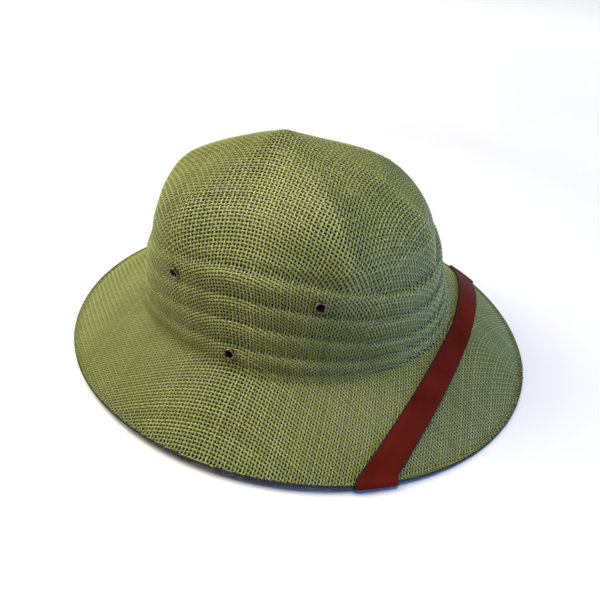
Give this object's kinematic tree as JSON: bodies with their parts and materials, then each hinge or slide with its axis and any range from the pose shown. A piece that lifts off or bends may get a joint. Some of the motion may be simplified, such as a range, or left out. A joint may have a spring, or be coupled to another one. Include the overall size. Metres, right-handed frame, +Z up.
{
  "type": "beekeeping hat",
  "caption": "Olive green sun helmet of open woven straw with a ridged crown, pressed ledges, sloping brim, bronze air eyelets and a red-brown strap over the front brim.",
  "frame": {"origin": "centre of the bounding box at the floor that the brim's edge stands on", "axes": "+Z up, -Y to the wearer's front, +X to the wearer's left"},
  "size_m": [0.291, 0.332, 0.1534],
  "materials": {
    "straw": "open plain weave of dyed olive straw, matt",
    "edging": "dark grey bound edge, matt",
    "strap": "smooth red-brown leather with black edges, satin",
    "eyelet": "antique bronze, worn satin"
  },
  "bodies": {
    "root": {"crown": "straw", "brim": "straw", "brim_edge_binding": "edging", "chin_strap": "strap", "eyelet_right_fore": "eyelet", "eyelet_right_aft": "eyelet", "eyelet_right_low": "eyelet", "eyelet_left_fore": "eyelet", "eyelet_left_aft": "eyelet", "eyelet_left_low": "eyelet"}
  },
  "joints": []
}
